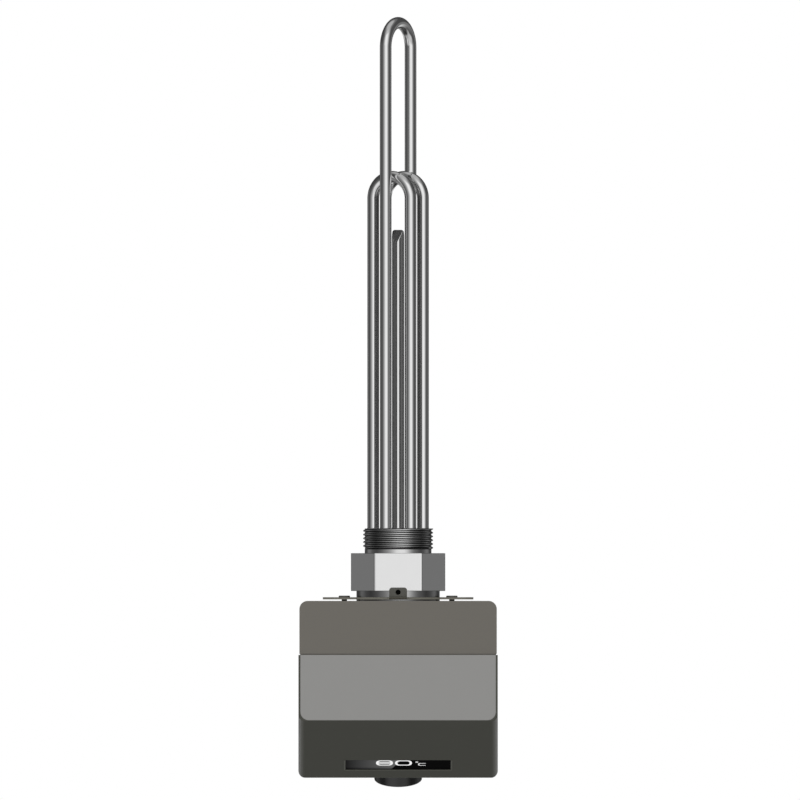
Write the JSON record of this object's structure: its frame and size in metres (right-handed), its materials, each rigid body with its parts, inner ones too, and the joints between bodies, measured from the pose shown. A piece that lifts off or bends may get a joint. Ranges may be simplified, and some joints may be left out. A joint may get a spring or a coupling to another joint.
{
  "type": "screw plug immersion heater",
  "caption": "Screw plug immersion heater: hairpin elements and a sensor pocket in a threaded hexagon plug, behind it a control box with prow-shaped cover, display and knob.",
  "frame": {"origin": "on the plug's axis, at the face of the hexagon that seals against the tank", "axes": "+Z along the heating elements, away from the box; -Y towards the side with the light panel, which is up when the heater is screwed into the side of a tank; +X to the right in the picture"},
  "size_m": [0.136, 0.1557, 0.5259],
  "materials": {
    "element_steel": "satin drawn tube",
    "plug_steel": "turned and nickel plated",
    "fastener_dark": "black oxide",
    "fastener_zinc": "zinc plated",
    "housing_taupe": "satin powder coat",
    "cover_dark": "fine moulded texture",
    "panel_grey": "satin",
    "window_black": "polished",
    "knob_black": "satin moulded",
    "seal_rubber": "matte",
    "ceramic_white": "glazed",
    "brass": "plated brass",
    "board_green": "solder mask",
    "part_dark": "moulded",
    "part_blue": "moulded",
    "part_yellow": "taped winding",
    "part_grey": "moulded",
    "button_red": "moulded"
  },
  "bodies": {
    "root": {"screw_plug": "plug_steel", "heating_element_long": "element_steel", "heating_element_left": "element_steel", "heating_element_right": "element_steel", "terminal_bushes": "ceramic_white", "terminal_pins": "fastener_zinc", "sensor_pocket": "element_steel", "sensor_probe": "fastener_zinc", "limiter_bulb": "brass", "mounting_plate": "housing_taupe", "plate_screws": "fastener_dark", "plate_seal": "seal_rubber", "lock_nut": "brass", "rear_housing": "housing_taupe", "housing_seal": "seal_rubber", "front_cover": "cover_dark", "cover_screws": "fastener_zinc", "top_panel": "panel_grey", "display_window": "window_black", "display_module": "part_grey", "display_board": "board_green", "display_screws": "fastener_zinc", "encoder_body": "part_grey", "encoder_nut": "fastener_zinc", "encoder_board": "board_green", "power_board": "board_green", "board_screws": "fastener_zinc", "relays": "part_dark", "transformer": "part_yellow", "capacitors": "part_blue", "fuse_holder": "part_dark", "terminal_block": "part_grey", "safety_limiter": "part_dark", "limiter_cap": "part_dark", "gland_body": "part_grey", "gland_seal": "seal_rubber", "gland_cap": "part_grey", "gland_lock_nut": "part_grey"},
    "encoder_rotor": {"encoder_rotor": "brass"},
    "knob": {"control_knob": "knob_black", "encoder_shaft": "fastener_zinc"},
    "limiter_button": {"limiter_button": "button_red"}
  },
  "joints": [
    {"name": "knob_turn", "type": "hinge", "parent": "root", "child": "encoder_rotor", "pos_m": [0, 0.0336, -0.14122], "axis": [0, 0.3338, -0.9426], "continuous": true},
    {"name": "knob_press", "type": "slide", "parent": "encoder_rotor", "child": "knob", "axis": [0, -0.3338, 0.9426], "range_m": [0, 0.0006], "stiffness_N_per_m": 600, "springref_m": -0.004},
    {"name": "limiter_reset", "type": "slide", "parent": "root", "child": "limiter_button", "axis": [0, -1, 0], "range_m": [0, 0.0015], "stiffness_N_per_m": 400, "springref_m": -0.003}
  ]
}
